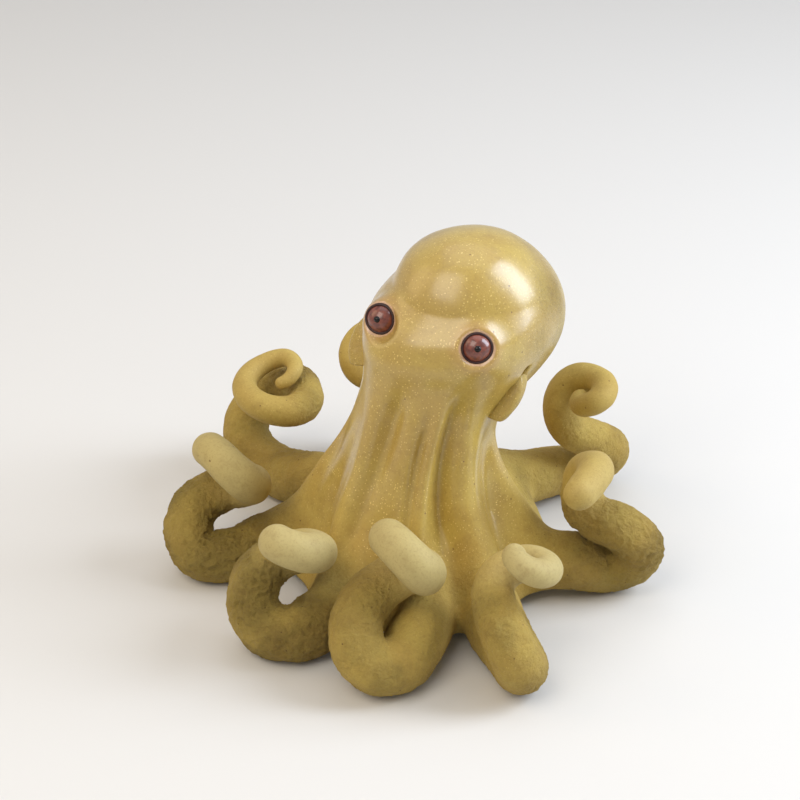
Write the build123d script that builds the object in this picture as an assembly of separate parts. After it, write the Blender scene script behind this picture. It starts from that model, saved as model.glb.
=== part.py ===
from build123d import *
import math
import os

# An octopus figurine of fired stoneware clay, made by hand in one colour of body.
# The face looks along -Y, +Z is up and the table is at height zero. A hollow column carries the
# eyes at its top and flares at its foot into a webbed bell, open underneath. A hollow bulb, the
# mantle, leans back from the head. Eight tapering arms are luted to the bell's lobes: each runs
# out over the table, curls up and back over itself, and ends in a free hook or coil.
# All lengths are in millimetres and all angles in degrees.

# Bench sizes
wall = 3.0                  # thickness of the pinched clay wall
overrun = 2.0               # how far every cutting shape runs past what it cuts
quarter_turn = 90
full_turn = 360
on_floor = (Align.CENTER, Align.CENTER, Align.MIN)

# Column and bell
column_height = 62.5        # table to the top of the head's crown
neck_radius = 13.2          # narrowest radius of the neck
# Rows from the bell's rim up: height share and the sideways and backward lean shares of the
# column height, then the share of the neck radius, how much of the way from the neck's radius
# out to the arms' joints is added to it in the webs and along the lobes, and how much wider the
# section is towards the corners of its face.
column_row_shares = (
    (0.04, -0.010, 0.020, 1.00, 0.746, 1.014, 0.00),
    (0.13, -0.010, 0.020, 1.00, 0.536, 0.995, 0.00),
    (0.21, -0.015, 0.020, 1.00, 0.344, 0.861, 0.00),
    (0.28, -0.020, 0.024, 1.00, 0.249, 0.670, 0.00),
    (0.37, -0.020, 0.024, 1.00, 0.143, 0.421, 0.00),
    (0.48, -0.008, 0.030, 1.00, 0.048, 0.172, 0.00),
    (0.58, 0.010, 0.036, 1.00, 0.000, 0.048, 0.02),
    (0.67, 0.028, 0.046, 1.00, 0.000, 0.019, 0.05),
    (0.77, 0.044, 0.060, 1.03, 0.000, 0.000, 0.08),
    (0.86, 0.056, 0.077, 1.06, 0.000, 0.000, 0.09),
    (0.93, 0.065, 0.105, 0.90, 0.000, 0.000, 0.09),
    (0.97, 0.070, 0.135, 0.62, 0.000, 0.000, 0.08),
    (1.00, 0.075, 0.165, 0.30, 0.000, 0.000, 0.06),
)
face_bearing = 12.0         # compass angle that the flattened front of the head faces
full_web_gap = 64.0         # angle between two arms at which the web is at its deepest

# Mantle: two half ellipsoids that meet at the widest circle
mantle_x = 7.2              # centre of the widest circle
mantle_y = 11.1
mantle_drop = 6.6           # how far it lies below the head's crown
mantle_radius = 15.5
mantle_front = 17.7         # half length towards the face
mantle_back = 20.5          # half length towards the tail
mantle_bearing = 22.5       # how far the tail turns from +Y towards +X
mantle_droop = 24.0         # how far the tail hangs below level
seam_bearing = 12.0         # how far the flat seam between mantle and head faces to +X
seam_lean = 41.0            # how far it faces up from level
seam_offset = 5.0           # its distance in front of the widest circle's centre

# Arms, with the sizes of a plain one
arm_reach = 27.0            # body axis to the flat joint where an arm starts
arm_root_height = 7.0       # height of the arm's centre there
arm_length = 60.0           # along the centreline
arm_root_radius = 5.8
arm_middle_radius = 4.5
arm_tip_radius = 3.0
joint_cut_radius_share = 0.43    # the cut that frees a joint's face, over the joint's reach
joint_cut_depth_share = 0.215
root_web_height = 20.0      # height of the web's thick end inside the bell
root_web_reach = 10.0       # and its distance from the body axis
root_web_half_height = 10.0
root_web_half_width = 4.5
# For each arm: the compass angle of its root about the body (0 is the face, positive towards
# +X), the compass angle and the downward slope in which it sets out, then the shares of the
# plain sizes: the joint's reach and height, then length, middle radius and tip radius. Its
# bends follow, in equal lengths: how far it curls up over itself and turns to its own left.
arm_row_shares = {
    "arm_1": (-120, -100, 9, 1.07, 1.16, 1.63, 0.87, 0.43,
              ((-10, -15), (45, 5), (40, -60), (75, -20), (45, -10), (70, 65), (65, 70),
               (20, 90), (65, 155))),
    "arm_2": (-79, -39, 12, 1.00, 0.91, 0.99, 1.00, 1.15,
              ((5, 0), (10, -25), (70, -45), (40, -40), (50, 5), (40, 75), (-30, 95), (0, 55))),
    "arm_3": (-15, -11, 11, 1.00, 0.91, 0.86, 1.00, 1.16,
              ((0, -25), (20, -50), (50, -30), (35, -35), (35, -10), (45, 30), (30, 70),
               (10, 80))),
    "arm_4": (24, 5, -5, 1.00, 0.87, 1.01, 1.05, 1.20,
              ((-20, -5), (35, -55), (60, -55), (25, -35), (40, 15), (75, 40), (-25, 95),
               (-15, 90))),
    "arm_5": (54, 27, 2, 1.00, 0.90, 1.05, 0.93, 0.77,
              ((-10, 20), (15, -10), (70, -30), (80, -25), (0, 10), (15, 80), (-5, 60),
               (-65, 45), (-125, 35))),
    "arm_6": (102, 98, -9, 1.00, 0.99, 1.00, 0.98, 1.02,
              ((-35, 30), (60, -30), (80, -20), (65, 5), (-65, 40), (-65, -15), (-15, -50),
               (0, -15))),
    "arm_7": (165, 136, 24, 1.07, 1.33, 1.27, 0.91, 0.73,
              ((15, 15), (-10, 5), (50, -50), (90, -45), (15, 0), (-10, 75), (-80, 35),
               (-75, -45), (-175, -45))),
    "arm_8": (-148, -142, -2, 1.00, 1.07, 1.07, 0.73, 0.57,
              ((-25, -15), (15, 20), (95, -30), (25, 10), (20, 80), (-100, -20), (-40, -85),
               (-20, -55))),
}
circles_per_bend = 6        # round sections that the tube is drawn through in each bend

# Eyes, each on a round mound of the head, with a round socket in the mound
eye_drop = 4.9              # crown down to the eyes' middles, as a mean
eye_tilt = 0.7              # how much higher the right eye sits than that, and the left lower
eye_bearing = -0.6          # compass angle midway between the two mounds
eye_spread = 40.7           # compass angle from there to each mound
eye_stand = 2.2             # how far the rim's plane stands out of the head there
look_bearing = 11.5         # compass angle midway between the ways that the eyes look
look_spread = 14.5          # compass angle from there to each eye's own way
eye_lift = 21.0             # how far each eye looks above level
mound_radius = 4.4
socket_radius = 3.0
socket_depth = 1.6
eye_ball_radius = 2.6       # radius of the ball's round edge
eye_ball_crown = 1.0        # how far the middle of the ball stands out of its edge
rim_thickness = 1.0         # length of the dark ring along the socket's wall
rim_proud = 0.15            # how far the ring stands out of the head
pupil_radius = 0.75
pupil_depth = 0.6           # how deep the pupil is set into the ball
pupil_crown = 0.25          # how far it stands out of the ball

# Gill flaps behind the eyes: a bowed strip from each cheek down to the side of the neck
flap_half_width = 2.0
flap_bearing = 92.0         # compass angle of the strip's top
flap_turn = 12.0            # how far it runs towards the face on its way down
flap_top_drop = 11.9        # mean drop of its upper end below the head's crown
flap_bottom_drop = 19.5     # mean drop of its lower end
flap_tilt = 2.8             # how much higher the right flap sits than that, and the left lower
flap_top_stand = 0.6        # how far the strip stands off the cheek at its upper end
flap_bottom_stand = 2.0     # and off the neck at its lower end
flap_bow = 0.7              # how far its middle bows outwards
flap_rounding = 0.8         # radius of its long edges
flap_seat_gap = 0.6         # wall left behind the strip's blank before the cut
flap_sections = 5


def compass(angle, slope=0.0):
    """Unit vector for a compass angle from the face, tilted up by the slope."""
    level = math.cos(math.radians(slope))
    east = math.sin(math.radians(angle)) * level
    south = -math.cos(math.radians(angle)) * level
    return Vector(east, south, math.sin(math.radians(slope)))


def turned(vector, axis, angle):
    """The vector after a turn about an axis through zero."""
    return vector.rotate(Axis((0, 0, 0), axis), angle)


def row_centre(row):
    """Centre point of one row of the column."""
    return Vector(row[1], row[2], row[0]) * column_height


def row_radius(row, flare):
    """Radius of one row: its share of the neck's, and a part of the way out to the joints."""
    return row[3] * neck_radius + flare * (arm_reach - neck_radius)


def corner_factor(row, angle):
    """How much wider the row is at a compass angle: fullest halfway from front to side."""
    return 1 + row[6] * math.sin(math.radians(2 * (angle - face_bearing))) ** 2


def lobed_section(row):
    """Closed curve of one row: out along each arm's lobe and in at each web between."""
    centre = row_centre(row)
    web = row_radius(row, row[4])
    lobe = row_radius(row, row[5])
    angles = sorted(values[0] for values in arm_row_shares.values())
    points = []
    for place, angle in enumerate(angles):
        following = angles[(place + 1) % len(angles)]
        gap = (following - angle) % full_turn
        depth = min(gap, full_web_gap) / full_web_gap
        between = lobe - (lobe - web) * depth
        points.append(centre + compass(angle) * lobe * corner_factor(row, angle))
        halfway = angle + gap / 2
        points.append(centre + compass(halfway) * between * corner_factor(row, halfway))
    return Wire(Spline(*points, periodic=True))


def column_outside():
    """The head, neck and bell as one smooth solid through the lobed sections."""
    return Solid.make_loft([lobed_section(row) for row in column_row_shares])


def column_inside():
    """The hollow of the column: round sections one wall inside the webs."""
    sections = []
    for row in column_row_shares:
        hollow = Plane(row_centre(row)) * Circle(row_radius(row, row[4]) - wall)
        sections.append(hollow.wire())
    below = Plane(row_centre(column_row_shares[0]) - Vector(0, 0, overrun))
    foot = column_row_shares[0]
    mouth = below * Circle(row_radius(foot, foot[4]) - wall)
    return Solid.make_loft([mouth.wire()] + sections[:-1])


def egg(inset):
    """The mantle's egg, drawn in by an inset: two quarter ellipses turned about the long axis."""
    radius = mantle_radius - inset
    front = EllipticalCenterArc(
        (0, 0), mantle_front - inset, radius, quarter_turn, arc_size=quarter_turn)
    back = EllipticalCenterArc(
        (0, 0), mantle_back - inset, radius, 0, arc_size=quarter_turn)
    axis_line = Line(front @ 1, back @ 0)
    half = make_face([front, back, axis_line])
    tail = compass(180 - mantle_bearing, -mantle_droop)
    place = Plane(mantle_centre, x_dir=tail, z_dir=tail.cross(Vector(0, 0, 1)).cross(tail))
    return place * revolve(half, Axis.X)


def radius_along(arm, share):
    """Tube radius at a share of the arm's length: a curve through root, middle and tip."""
    middle = arm_middle_radius * arm[6]
    tip = arm_tip_radius * arm[7]
    root_part = arm_root_radius * (1 - share) * (1 - 2 * share)
    middle_part = 4 * middle * share * (1 - share)
    tip_part = tip * share * (2 * share - 1)
    return root_part + middle_part + tip_part


def arm_root(arm):
    """Centre of the flat joint where an arm starts."""
    return compass(arm[0]) * (arm_reach * arm[3]) + Vector(0, 0, arm_root_height * arm[4])


def arm_stations(arm):
    """Length shares and planes square to the arm's centreline, from root to tip."""
    place = arm_root(arm)
    ahead = compass(arm[1], -arm[2])
    left = Vector(0, 0, 1).cross(ahead).normalized()
    over = ahead.cross(left)
    bend_share = 1 / len(arm[8])
    stations = [(0, Plane(place, x_dir=left, z_dir=ahead))]
    for number, (curl, side) in enumerate(arm[8]):
        turn = math.hypot(curl, side)
        hinge = (ahead.cross(over) * curl + ahead.cross(left) * side).normalized()
        half_step = turn / circles_per_bend / 2
        arc = arm_length * arm[5] * bend_share / circles_per_bend
        chord = arc * math.sin(math.radians(half_step)) / math.radians(half_step)
        for step in range(1, circles_per_bend + 1):
            ahead = turned(ahead, hinge, half_step)
            place = place + ahead * chord
            ahead = turned(ahead, hinge, half_step)
            left = turned(left, hinge, 2 * half_step)
            over = turned(over, hinge, 2 * half_step)
            share = (number + step / circles_per_bend) * bend_share
            stations.append((share, Plane(place, x_dir=left, z_dir=ahead)))
    return stations


def arm_solid(arm):
    """One arm: a tube through its circles, a round tip, and a belly rubbed flat on the table."""
    stations = arm_stations(arm)
    circles = [(plane * Circle(radius_along(arm, share))).wire() for share, plane in stations]
    tube = Solid.make_loft(circles)
    tip_radius = radius_along(arm, 1)
    tip = Solid.make_sphere(tip_radius, stations[-1][1], 0, quarter_turn, full_turn)
    return (tube + tip) - below_table


def arm_web(arm):
    """The thick web that carries an arm: an upright oval in the bell drawn out to the joint."""
    joint = arm_stations(arm)[0][1]
    direction = compass(arm[0])
    start = direction * root_web_reach + Vector(0, 0, root_web_height)
    oval_plane = Plane(start, x_dir=Vector(0, 0, 1).cross(direction), z_dir=direction)
    oval = oval_plane * Ellipse(root_web_half_width, root_web_half_height)
    ring = joint * Circle(radius_along(arm, 0))
    return Solid.make_loft([oval.wire(), ring.wire()], True)


def axis_point(height):
    """Point of the column's leaning axis at a height."""
    share = height / column_height
    lower = max(row for row in column_row_shares if row[0] <= share)
    upper = min(row for row in column_row_shares if row[0] > share)
    mix = (share - lower[0]) / (upper[0] - lower[0])
    return row_centre(lower) * (1 - mix) + row_centre(upper) * mix


def seat_on_head(bearing, height):
    """Where a level ray from the column's axis leaves the head, as a plane facing along it."""
    centre = axis_point(height)
    ray = compass(bearing)
    hits = []
    for face in head_outside.faces():
        hits += [point for point, _ in face.find_intersection_points(Axis(centre, ray))]
    far = max(hits, key=lambda point: (point - centre).dot(ray))
    return Plane(far, x_dir=Vector(0, 0, 1).cross(ray), z_dir=ray)


def eye_plane(side):
    """Plane of an eye's rim, facing the way that the eye looks; side is 1 or -1."""
    height = column_height - eye_drop - side * eye_tilt
    seat = seat_on_head(eye_bearing + side * eye_spread, height)
    look = compass(look_bearing + side * look_spread, eye_lift)
    place = seat.origin + seat.z_dir * eye_stand
    return Plane(place, x_dir=Vector(0, 0, 1).cross(look), z_dir=look)


def eye_mound(side):
    """Ball of clay under an eye, with the socket's edge on its surface."""
    plane = eye_plane(side)
    depth = math.sqrt(mound_radius ** 2 - socket_radius ** 2)
    return Pos(plane.origin - plane.z_dir * depth) * Sphere(mound_radius)


def domed_disc(radius, below, crown):
    """A round plug with a domed top: a cylinder from below its edge up, cut by a sphere."""
    dome_radius = (radius ** 2 + crown ** 2) / (2 * crown)
    plug = Plane((0, 0, -below)) * Cylinder(radius, below + crown, align=on_floor)
    return plug & Plane((0, 0, crown - dome_radius)) * Sphere(dome_radius)


def eye_parts(side):
    """Socket, ball, dark ring and pupil of one eye, in their places; side is 1 or -1."""
    seat = eye_plane(side)
    floor = Plane((0, 0, -socket_depth))
    socket = floor * Cylinder(socket_radius, socket_depth + overrun, align=on_floor)
    shoulder = socket_depth + rim_proud - rim_thickness
    bed = floor * Cylinder(socket_radius, shoulder, align=on_floor)
    ball = bed + domed_disc(eye_ball_radius, socket_depth, eye_ball_crown)
    ring_blank = floor * Cylinder(socket_radius, socket_depth + rim_proud, align=on_floor)
    ring = ring_blank - floor * Cylinder(eye_ball_radius, socket_depth + overrun, align=on_floor)
    ring = ring - bed
    pupil_bed = Plane((0, 0, eye_ball_crown - pupil_depth))
    hole = pupil_bed * Cylinder(pupil_radius, pupil_depth + overrun, align=on_floor)
    pupil = Plane((0, 0, eye_ball_crown)) * domed_disc(pupil_radius, pupil_depth, pupil_crown)
    return seat * socket, seat * (ball - hole), seat * ring, seat * pupil


def flap_solid(side):
    """One gill flap: rounded oblongs down the side of the neck, cut to sit on it."""
    shares = [number / (flap_sections - 1) for number in range(flap_sections)]
    seats = []
    for share in shares:
        drop = flap_top_drop * (1 - share) + flap_bottom_drop * share + side * flap_tilt
        bearing = side * (flap_bearing - flap_turn * share)
        seats.append(seat_on_head(bearing, column_height - drop))
    sunk = wall - flap_seat_gap
    sections = []
    for share, seat in zip(shares, seats):
        straight = seats[0].origin * (1 - share) + seats[-1].origin * share
        stand = flap_top_stand * (1 - share) + flap_bottom_stand * share
        bow = 4 * flap_bow * share * (1 - share)
        proud = (straight - seat.origin).dot(seat.z_dir) + stand + bow
        middle = seat.origin + seat.z_dir * ((proud - sunk) / 2)
        level = Plane(middle, x_dir=seat.z_dir, z_dir=Vector(0, 0, -1))
        oblong = RectangleRounded(proud + sunk, 2 * flap_half_width, flap_rounding)
        sections.append((level * oblong).wire())
    return Solid.make_loft(sections) - shell


def centred(parts):
    """All parts shifted alike over the table, so that their common box is centred on zero."""
    boxes = [part.bounding_box() for part in parts.values()]
    across = (min(box.min.X for box in boxes) + max(box.max.X for box in boxes)) / 2
    deep = (min(box.min.Y for box in boxes) + max(box.max.Y for box in boxes)) / 2
    shift = Vector(-across, -deep, 0)
    return {name: Pos(shift) * part for name, part in parts.items()}, shift


mantle_centre = Vector(mantle_x, mantle_y, column_height - mantle_drop)
room = 2 * (arm_reach + arm_length)
below_table = Box(2 * room, 2 * room, room, align=(Align.CENTER, Align.CENTER, Align.MAX))

# The shell: column, webs and egg as one outside, hollowed, then parted at the flat seam
head_outside = column_outside() + egg(0)
shell = head_outside + eye_mound(1) + eye_mound(-1)
for row in arm_row_shares.values():
    shell = shell + arm_web(row)
shell = shell - column_inside() - egg(wall)
for row in arm_row_shares.values():
    joint = arm_stations(row)[0][1]
    cut_radius = joint_cut_radius_share * arm_reach
    cut_depth = joint_cut_depth_share * arm_reach
    shell = shell - joint * Cylinder(cut_radius, cut_depth, align=on_floor)
shell = shell - below_table
seam_normal = compass(180 - seam_bearing, seam_lean)
seam = Plane(mantle_centre - seam_normal * seam_offset, z_dir=seam_normal)
mantle_room = Pos(mantle_centre) * Sphere(mantle_back + wall)
mantle_room = split(mantle_room, bisect_by=seam, keep=Keep.TOP)
mantle = shell & mantle_room

parts = {}
head_skirt = shell - mantle_room
for name, side in (("left", 1), ("right", -1)):
    socket, ball, ring, pupil = eye_parts(side)
    head_skirt = head_skirt - socket
    parts["eye_ball_" + name] = ball
    parts["eye_rim_" + name] = ring
    parts["pupil_" + name] = pupil
    parts["gill_flap_" + name] = flap_solid(side)
parts["head_skirt"] = head_skirt
parts["mantle"] = mantle
for name, row in arm_row_shares.items():
    parts[name] = arm_solid(row)

parts, shift = centred(parts)
print("shift", tuple(round(value, 3) for value in shift))
os.makedirs("parts", exist_ok=True)
for name, part in parts.items():
    solids = part.solids()
    print(name, len(solids), [round(solid.volume, 1) for solid in solids])
    export_step(part, "parts/" + name + ".step")
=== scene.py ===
"""Looks of a hand-modelled clay octopus: burnished body, torn clay on the arms, set-in eyes.

Every shape is worked out in millimetres in the figurine's own frame (face along -Y, table at
height zero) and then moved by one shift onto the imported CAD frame, in metres.
"""
import collections
import functools
import math

import bmesh
import bpy
import numpy as np
from mathutils import Matrix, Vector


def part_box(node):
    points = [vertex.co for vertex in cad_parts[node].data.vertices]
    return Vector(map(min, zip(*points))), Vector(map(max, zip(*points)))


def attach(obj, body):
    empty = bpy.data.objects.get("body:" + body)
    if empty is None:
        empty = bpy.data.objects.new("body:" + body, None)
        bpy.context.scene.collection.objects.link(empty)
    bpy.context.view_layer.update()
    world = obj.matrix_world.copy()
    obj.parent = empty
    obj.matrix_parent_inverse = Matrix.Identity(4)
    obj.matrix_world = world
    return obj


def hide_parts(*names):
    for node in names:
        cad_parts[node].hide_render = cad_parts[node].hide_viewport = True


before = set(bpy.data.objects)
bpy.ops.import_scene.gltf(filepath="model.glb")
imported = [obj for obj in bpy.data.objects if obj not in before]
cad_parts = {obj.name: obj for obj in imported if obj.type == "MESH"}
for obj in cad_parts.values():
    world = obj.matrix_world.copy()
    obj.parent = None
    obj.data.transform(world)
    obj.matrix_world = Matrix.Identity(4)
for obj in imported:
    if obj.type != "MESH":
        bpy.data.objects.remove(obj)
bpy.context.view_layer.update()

bl_info = {
    "name": "Clay octopus figurine",
    "version": (1, 0, 0),
    "blender": (4, 5, 0),
    "location": "3D View > Sidebar > Octopus",
    "description": "Builds the looks of a hand-modelled clay octopus around its packed CAD frame",
    "category": "Add Mesh",
}

MM = 0.001

# Column and bell, a row for each height share of the column: sideways and backward lean shares
# of its height, share of the neck's radius, how much of the way out to the arms' joints is
# added in the webs and along the lobes, and how square the section is about the face.
COLUMN_HEIGHT = 62.5
NECK_RADIUS = 13.2
COLUMN_ROWS = np.array((
    (0.04, -0.010, 0.020, 1.00, 0.746, 1.014, 0.00),
    (0.13, -0.010, 0.020, 1.00, 0.536, 0.995, 0.00),
    (0.21, -0.015, 0.020, 1.00, 0.344, 0.861, 0.00),
    (0.28, -0.020, 0.024, 1.00, 0.249, 0.670, 0.00),
    (0.37, -0.020, 0.024, 1.00, 0.143, 0.421, 0.00),
    (0.48, -0.008, 0.030, 1.00, 0.048, 0.172, 0.00),
    (0.58, 0.010, 0.036, 1.00, 0.000, 0.048, 0.02),
    (0.67, 0.028, 0.046, 1.00, 0.000, 0.019, 0.05),
    (0.77, 0.044, 0.060, 1.03, 0.000, 0.000, 0.08),
    (0.86, 0.056, 0.077, 1.06, 0.000, 0.000, 0.09),
    (0.93, 0.065, 0.105, 0.90, 0.000, 0.000, 0.09),
    (0.97, 0.070, 0.135, 0.62, 0.000, 0.000, 0.08),
    (1.00, 0.075, 0.165, 0.30, 0.000, 0.000, 0.06),
))
FACE_BEARING = 12.0
FULL_WEB_GAP = 64.0
WALL = 3.0
HOLLOW_TOP = 58.0
HOLLOW_BLEND = 3.0
BROW_BLEND = 10.0           # the mantle and the head's front flow into each other
CROWN_BLEND = 4.0
RIM_HEIGHT = 2.0            # the bell's rim, above the table
RIM_ROUND = 1.2
SKIN_SWELLS = ((9.0, 0.12, 5), (3.5, 0.05, 6))  # uneven skin: size, height and salt of a noise
BODY_LOW = (-36.0, -36.0, 0.3)
BODY_HIGH = (36.0, 36.0, 72.5)
# Thumbed folds of the neck and bell: upper height and compass angle, lower height and compass
# angle, half width, and how far the fold stands out (below zero where it is pressed in).
FOLDS = (
    (44, -30, 18, -25, 3.0, 0.9),
    (46, -9, 12, -13, 2.3, -2.0),
    (44, 8, 16, 9, 3.0, 1.1),
    (42, 20, 18, 19, 1.1, -1.0),
    (46, 28, 14, 25, 1.6, 1.4),
    (47, 40, 10, 40, 2.0, -2.0),
    (40, 60, 11, 53, 3.8, 1.5),
    (34, 92, 10, 84, 3.0, -1.2),
    (38, -50, 20, -60, 3.0, 0.8),
    (34, -70, 12, -64, 2.4, -1.0),
    (36, -100, 14, -99, 2.6, -0.8),
    (36, -134, 12, -134, 2.4, -0.8),
    (36, 176, 12, -172, 2.6, -0.7),
    (38, 128, 22, 128, 3.0, -0.8),
    (16, 141, 2, 141, 8.0, 6.0),
)
FOLD_FOOT_FADE = (-6, 2)    # heights about its foot and its top over which a fold fades
FOLD_TOP_FADE = (-6, 4)

# Mantle: two half ellipsoids on one widest circle
MANTLE_CENTRE = np.array((7.2, 11.1, 55.9))
MANTLE_RADIUS = 15.5
MANTLE_FRONT = 17.7
MANTLE_BACK = 20.5
MANTLE_BEARING = 22.5
MANTLE_DROOP = 24.0
SEAM_BEARING = 12.0
SEAM_LEAN = 41.0
SEAM_OFFSET = 5.0

# Arms: sizes of a plain one, then each arm's root angle, heading, dip, shares of reach, root
# height, length, middle and tip radius, its bends (curl, left), and how torn its bends and how
# pale its tip is.
Arm = collections.namedtuple(
    "Arm", "root heading dip reach height length middle tip bends torn pale")
ARM_REACH = 27.0
ARM_ROOT_HEIGHT = 7.0
ARM_LENGTH = 60.0
ARM_ROOT_RADIUS = 5.8
ARM_MIDDLE_RADIUS = 4.5
ARM_TIP_RADIUS = 3.0
ARMS = {
    "arm_1": Arm(-120, -100, 9, 1.07, 1.16, 1.63, 0.87, 0.43,
                 ((-10, -15), (45, 5), (40, -60), (75, -20), (45, -10), (70, 65), (65, 70),
                  (20, 90), (65, 155)), 0.6, 0.2),
    "arm_2": Arm(-79, -39, 12, 1.00, 0.91, 0.99, 1.00, 1.15,
                 ((5, 0), (10, -25), (70, -45), (40, -40), (50, 5), (40, 75), (-30, 95), (0, 55)),
                 1.0, 0.8),
    "arm_3": Arm(-15, -11, 11, 1.00, 0.91, 0.86, 1.00, 1.16,
                 ((0, -25), (20, -50), (50, -30), (35, -35), (35, -10), (45, 30), (30, 70),
                  (10, 80)), 1.0, 1.0),
    "arm_4": Arm(24, 5, -5, 1.00, 0.87, 1.01, 1.05, 1.20,
                 ((-20, -5), (35, -55), (60, -55), (25, -35), (40, 15), (75, 40), (-25, 95),
                  (-15, 90)), 0.5, 0.9),
    "arm_5": Arm(54, 27, 2, 1.00, 0.90, 1.05, 0.93, 0.77,
                 ((-10, 20), (15, -10), (70, -30), (80, -25), (0, 10), (15, 80), (-5, 60),
                  (-65, 45), (-125, 35)), 0.55, 1.0),
    "arm_6": Arm(102, 98, -9, 1.00, 0.99, 1.00, 0.98, 1.02,
                 ((-35, 30), (60, -30), (80, -20), (65, 5), (-65, 40), (-65, -15), (-15, -50),
                  (0, -15)), 0.9, 0.35),
    "arm_7": Arm(165, 136, 24, 1.07, 1.33, 1.27, 0.91, 0.73,
                 ((15, 15), (-10, 5), (50, -50), (90, -45), (15, 0), (-10, 75), (-80, 35),
                  (-75, -45), (-175, -45)), 0.35, 0.1),
    "arm_8": Arm(-148, -142, -2, 1.00, 1.07, 1.07, 0.73, 0.57,
                 ((-25, -15), (15, 20), (95, -30), (25, 10), (20, 80), (-100, -20), (-40, -85),
                  (-20, -55)), 0.35, 0.1),
}

# An arm's hidden start inside its lobe, and how its skin is laid on the body's
ROOT_START_REACH = 13.0
ROOT_START_HEIGHT = 12.5
ROOT_START_SLOPE = -25.0
ROOT_BLUNT = 3.0
ROOT_BLEND = 3.5
ROOT_NEAR = 24.0            # past this distance from its middle an arm's start adds nothing
JOINT_LENGTH = 9.0          # stretch of an arm whose rings are laid on the body's skin
JOINT_RUN = 16.0            # stretch of its line that the body's field then takes in
JOINT_ROUNDS = 10
JOINT_FADE = (1.0, 8.5)     # run over which the body's skin gives way to the tube
JOINT_FILLET = (2.5, 5.0)   # it also does where it lies this far outside the tube
ARM_RING_GAP = 0.34
ARM_ACROSS = 96
TIP_RINGS = 12
TIP_LENGTH_SHARE = 0.95     # of the tip's radius
TIP_FULLNESS = 0.9          # below 1 the tip is blunter than an ellipse
SKIN_WAVES = ((4.0, 0.10, 51), (1.6, 0.04, 52))  # unevenness: size, height and salt

# Finish of the skin: distances from the middle, heights, and shares of an arm's length
LOBE_TORN_REACH = (19.0, 27.0)
LOBE_TORN = 0.55
PLAIN_REACH = (12.0, 22.0)  # the burnish ends outside this, and below these heights
PLAIN_HEIGHT = (30.0, 45.0)
PLAIN_POLISH = 0.25
ARM_LEAVE = (0.0, 5.0)      # run over which an arm's finish takes over from its lobe's
ARM_POLISH = 0.2
TORN_PATCH = 6.0            # size of the patches that are more or less torn
TORN_END = (0.52, 0.72)
PALE_START = (0.45, 0.85)
FLAP_TORN = 0.15
FLAP_POLISH = 0.8

# Eyes, in the sizes of the CAD pieces
EYE_FACING = 11.5           # compass angle midway between the eyes' looks
EYE_SPREAD = 14.5
EYE_LIFT = 21.0
EYE_MOUND_RADIUS = 3.6
EYE_MOUND_DEPTH = 2.2       # its centre, in from the seat
EYE_MOUND_BLEND = 3.6
EYE_DISH_RADIUS = 4.85      # the hollow that the ball is pressed into
EYE_DISH_OUT = 4.0          # its centre, out from the seat
EYE_DISH_ROUND = 0.8
EYE_BALL_RADIUS = 2.6
EYE_BALL_CROWN = 1.5
EYE_BALL_DEPTH = 1.2
EYE_RING_RADIUS = 2.7
EYE_RING_HALF_WIDTH = 0.34
EYE_RING_HALF_HEIGHT = 0.42
EYE_RING_DEPTH = 0.12
PUPIL_RADIUS = 0.65
PUPIL_CROWN = 0.42
PUPIL_DEPTH = 0.5
PUPIL_SINK = 0.12           # its foot, below the top of the ball
PUPIL_OUT = 0.825           # middle of the CAD pupil, out from the head's surface

# Gill flaps, in the sizes of the CAD pieces
FLAP_HALF_WIDTH = 2.0
FLAP_BEARING = 92.0
FLAP_TURN = 12.0
FLAP_TOP = 50.6
FLAP_BOTTOM = 43.0
FLAP_TILT = 2.8
FLAP_TOP_STAND = 0.6
FLAP_BOTTOM_STAND = 2.9
FLAP_BOW = 1.2
FLAP_ROOT_SHARE = -0.45     # where a flap grows out of the cheek, above its top
FLAP_ROOT_DEPTH = 0.5
FLAP_DEPTH = 1.2
FLAP_LEAST_HALF_DEPTH = 0.3
FLAP_SQUARENESS = 0.62      # power of its section's sine and cosine
FLAP_RINGS = 52
FLAP_ACROSS = 48
FLAP_FOOT = ((0.96, 0.18), (0.82, 0.38), (0.4, 0.42))  # shares of the last ring, and their drops
FLAP_WAVE = (2.2, 0.08, 61)  # size, height and salt of its unevenness
SLIT_PLACES = ((20.6, 3.6, 47.4), (-11.0, 3.0, 49.4))  # the dark slits behind the flaps
SLIT_HALF_SIZES = (1.6, 1.0, 2.0)
SLIT_ROUND = 0.5

# Camera: a lens of the photograph's angle, aimed at a point in the neck
CAMERA_BEARING = 22.0
CAMERA_ELEVATION = 29.0
CAMERA_DISTANCE = 430.0
CAMERA_TARGET = np.array((-2.97, -1.20, 40.0))
LENS_SHARE = 2260 / 800
SENSOR_WIDTH = 36.0

# Stage, in metres: each lamp's compass angle and slope, distance, width and height, the setting
# that gives its power, the share of it, and its tint.
LAMPS = {
    "key": (113, 33, 0.55, 0.24, 0.46, "key_power", 1.0, "E6F0FF"),
    "front": (-14, 50, 0.60, 0.38, 0.38, "front_power", 1.0, "FFF6E8"),
    "fill": (-72, 33, 0.60, 0.30, 0.40, "fill_power", 1.0, "FFE2B8"),
    "top": (190, 72, 0.60, 0.50, 0.50, "key_power", 0.22, "F4F6FF"),
}
LAMP_TARGET = np.array((0.0, 0.0, 0.03))
FLOOR_HALF_WIDTH = 2.0
SEEN_STRENGTH = 0.6         # of the world, where the camera or a reflection sees it
WORLD_COLOUR = "F4F4F4"


# Numbers and noise

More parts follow.
